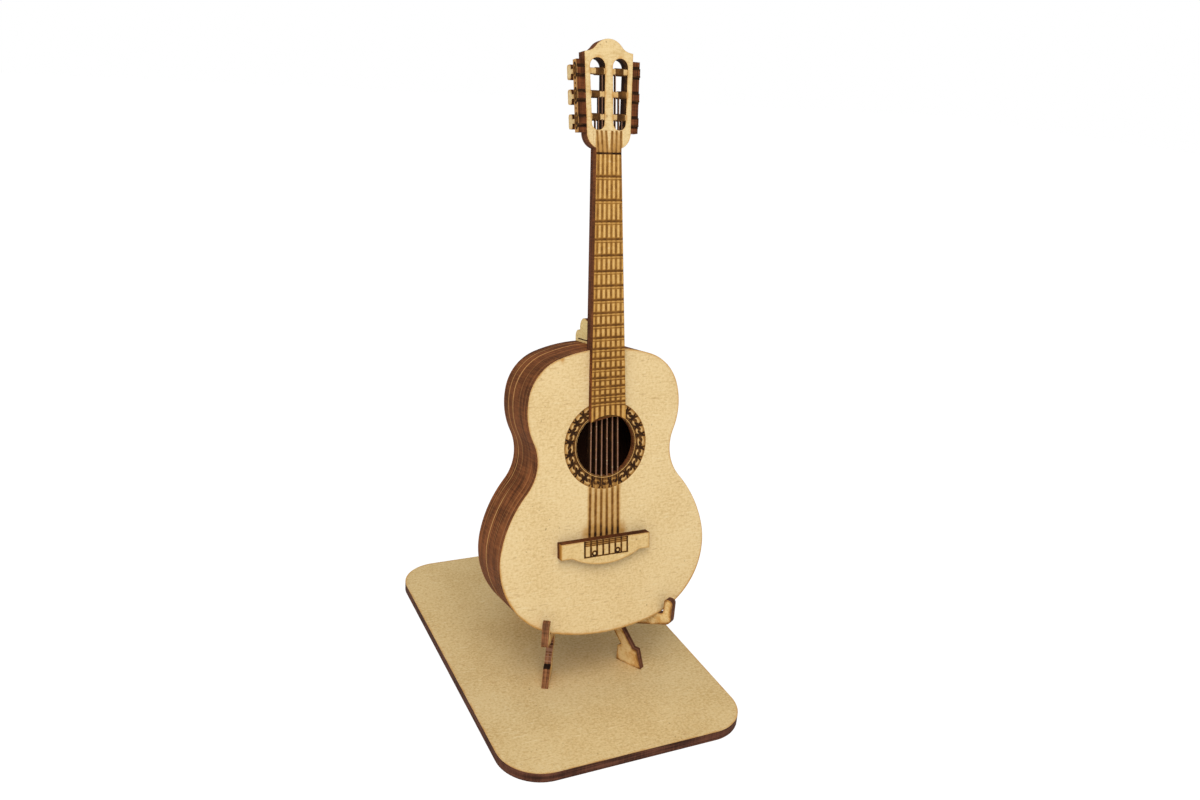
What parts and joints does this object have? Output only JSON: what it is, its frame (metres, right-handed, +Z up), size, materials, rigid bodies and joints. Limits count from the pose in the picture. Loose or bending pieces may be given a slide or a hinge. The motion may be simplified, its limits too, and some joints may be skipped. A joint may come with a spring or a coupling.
{
  "type": "guitar on stand",
  "caption": "Small laser-cut wooden guitar, built up from glued layers, leaning on a crossed-board stand on a rounded base plate; the guitar lifts off.",
  "frame": {"origin": "centre of the base plate's underside", "axes": "+Z up; the guitar's face looks towards -Y; +X to the right of someone who faces the guitar"},
  "size_m": [0.1, 0.156, 0.2484],
  "materials": {
    "guitar_board": "matte",
    "stand_board": "matte",
    "base_board": "matte"
  },
  "bodies": {
    "root": {"base_plate": "base_board", "stand_board_left": "stand_board", "stand_board_right": "stand_board"},
    "guitar": {"back_plate": "guitar_board", "body_frame_1": "guitar_board", "body_frame_2": "guitar_board", "body_frame_3": "guitar_board", "soundboard": "guitar_board", "neck_core": "guitar_board", "fretboard": "guitar_board", "bridge": "guitar_board", "heel": "guitar_board", "tuner_plate_left": "guitar_board", "tuner_plate_right": "guitar_board"}
  },
  "joints": [
    {"name": "guitar_lift", "type": "slide", "parent": "root", "child": "guitar", "axis": [0, 0.1779, 0.984], "range_m": [0, 0.06]}
  ]
}
